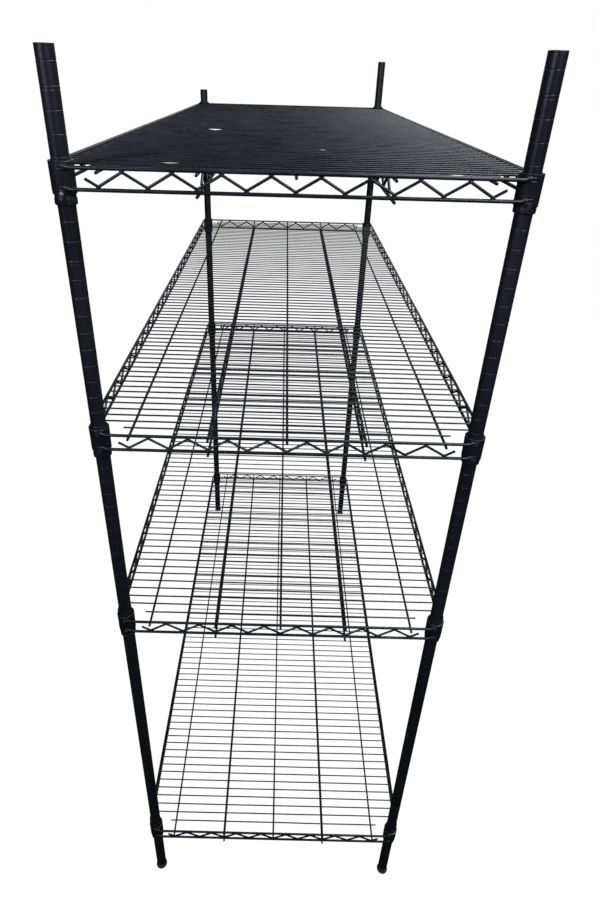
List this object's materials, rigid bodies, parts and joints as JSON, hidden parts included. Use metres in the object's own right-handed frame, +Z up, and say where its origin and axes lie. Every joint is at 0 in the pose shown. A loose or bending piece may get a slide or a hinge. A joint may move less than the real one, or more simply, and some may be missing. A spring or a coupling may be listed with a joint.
{
  "type": "wire shelving rack",
  "caption": "Freestanding black wire shelving rack with height-adjustable wire decks on grooved round posts, split sleeves, collars and levelling feet.",
  "frame": {"origin": "on the floor under the centre of the four posts", "axes": "+Z up, X across the short ends, Y along the long sides, front end at -Y"},
  "size_m": [0.62, 1.533, 1.8555],
  "materials": {
    "coated_post": "satin black epoxy powder coat on tube",
    "coated_collar": "satin black epoxy powder coat on drawn collar",
    "coated_wire": "satin to gloss black epoxy coat on welded wire",
    "black_plastic": "moulded black polyethylene",
    "sleeve_plastic": "moulded black plastic, fine texture",
    "foot_plastic": "scuffed black plastic",
    "zinc_steel": "zinc-plated screw"
  },
  "bodies": {
    "frame": {"front_left_post": "coated_post", "front_left_post_cap": "black_plastic", "front_left_foot_insert": "black_plastic", "front_right_post": "coated_post", "front_right_post_cap": "black_plastic", "front_right_foot_insert": "black_plastic", "rear_left_post": "coated_post", "rear_left_post_cap": "black_plastic", "rear_left_foot_insert": "black_plastic", "rear_right_post": "coated_post", "rear_right_post_cap": "black_plastic", "rear_right_foot_insert": "black_plastic", "top_shelf_sleeves": "sleeve_plastic", "upper_shelf_sleeves": "sleeve_plastic", "middle_shelf_sleeves": "sleeve_plastic", "bottom_shelf_sleeves": "sleeve_plastic"},
    "top_shelf": {"top_shelf_collars": "coated_collar", "top_shelf_end_wires": "coated_wire", "top_shelf_side_wires": "coated_wire", "top_shelf_end_zigzags": "coated_wire", "top_shelf_side_zigzags": "coated_wire", "top_shelf_ribs": "coated_wire", "top_shelf_support_wires": "coated_wire", "top_shelf_deck_wires": "coated_wire"},
    "upper_shelf": {"upper_shelf_collars": "coated_collar", "upper_shelf_end_wires": "coated_wire", "upper_shelf_side_wires": "coated_wire", "upper_shelf_end_zigzags": "coated_wire", "upper_shelf_side_zigzags": "coated_wire", "upper_shelf_ribs": "coated_wire", "upper_shelf_support_wires": "coated_wire", "upper_shelf_deck_wires": "coated_wire"},
    "middle_shelf": {"middle_shelf_collars": "coated_collar", "middle_shelf_end_wires": "coated_wire", "middle_shelf_side_wires": "coated_wire", "middle_shelf_end_zigzags": "coated_wire", "middle_shelf_side_zigzags": "coated_wire", "middle_shelf_ribs": "coated_wire", "middle_shelf_support_wires": "coated_wire", "middle_shelf_deck_wires": "coated_wire"},
    "bottom_shelf": {"bottom_shelf_collars": "coated_collar", "bottom_shelf_end_wires": "coated_wire", "bottom_shelf_side_wires": "coated_wire", "bottom_shelf_end_zigzags": "coated_wire", "bottom_shelf_side_zigzags": "coated_wire", "bottom_shelf_ribs": "coated_wire", "bottom_shelf_support_wires": "coated_wire", "bottom_shelf_deck_wires": "coated_wire"},
    "front_left_pad": {"front_left_foot_pad": "foot_plastic"},
    "front_left_screw": {"front_left_foot_screw": "zinc_steel"},
    "front_right_pad": {"front_right_foot_pad": "foot_plastic"},
    "front_right_screw": {"front_right_foot_screw": "zinc_steel"},
    "rear_left_pad": {"rear_left_foot_pad": "foot_plastic"},
    "rear_left_screw": {"rear_left_foot_screw": "zinc_steel"},
    "rear_right_pad": {"rear_right_foot_pad": "foot_plastic"},
    "rear_right_screw": {"rear_right_foot_screw": "zinc_steel"}
  },
  "joints": [
    {"name": "top_shelf_lift", "type": "slide", "parent": "frame", "child": "top_shelf", "axis": [0, 0, 1], "range_m": [0, 0.18]},
    {"name": "upper_shelf_lift", "type": "slide", "parent": "frame", "child": "upper_shelf", "axis": [0, 0, 1], "range_m": [0, 0.32]},
    {"name": "middle_shelf_lift", "type": "slide", "parent": "frame", "child": "middle_shelf", "axis": [0, 0, 1], "range_m": [0, 0.345]},
    {"name": "bottom_shelf_lift", "type": "slide", "parent": "frame", "child": "bottom_shelf", "axis": [0, 0, 1], "range_m": [0, 0.675]},
    {"name": "front_left_leveller_travel", "type": "slide", "parent": "frame", "child": "front_left_pad", "axis": [0, 0, -1], "range_m": [-0.003, 0.019]},
    {"name": "front_left_leveller_turn", "type": "hinge", "parent": "front_left_pad", "child": "front_left_screw", "pos_m": [-0.291, -0.744, 0], "axis": [0, 0, -1], "range_deg": [-760, 4600]},
    {"name": "front_right_leveller_travel", "type": "slide", "parent": "frame", "child": "front_right_pad", "axis": [0, 0, -1], "range_m": [-0.008, 0.014]},
    {"name": "front_right_leveller_turn", "type": "hinge", "parent": "front_right_pad", "child": "front_right_screw", "pos_m": [0.291, -0.744, 0], "axis": [0, 0, -1], "range_deg": [-1960, 3400]},
    {"name": "rear_left_leveller_travel", "type": "slide", "parent": "frame", "child": "rear_left_pad", "axis": [0, 0, -1], "range_m": [-0.008, 0.014]},
    {"name": "rear_left_leveller_turn", "type": "hinge", "parent": "rear_left_pad", "child": "rear_left_screw", "pos_m": [-0.291, 0.744, 0], "axis": [0, 0, -1], "range_deg": [-1960, 3400]},
    {"name": "rear_right_leveller_travel", "type": "slide", "parent": "frame", "child": "rear_right_pad", "axis": [0, 0, -1], "range_m": [-0.008, 0.014]},
    {"name": "rear_right_leveller_turn", "type": "hinge", "parent": "rear_right_pad", "child": "rear_right_screw", "pos_m": [0.291, 0.744, 0], "axis": [0, 0, -1], "range_deg": [-1960, 3400]}
  ],
  "couplings": [
    {"joint": "front_left_leveller_turn", "follows": "front_left_leveller_travel", "rad_per_m": 4188.8},
    {"joint": "front_right_leveller_turn", "follows": "front_right_leveller_travel", "rad_per_m": 4188.8},
    {"joint": "rear_left_leveller_turn", "follows": "rear_left_leveller_travel", "rad_per_m": 4188.8},
    {"joint": "rear_right_leveller_turn", "follows": "rear_right_leveller_travel", "rad_per_m": 4188.8}
  ]
}
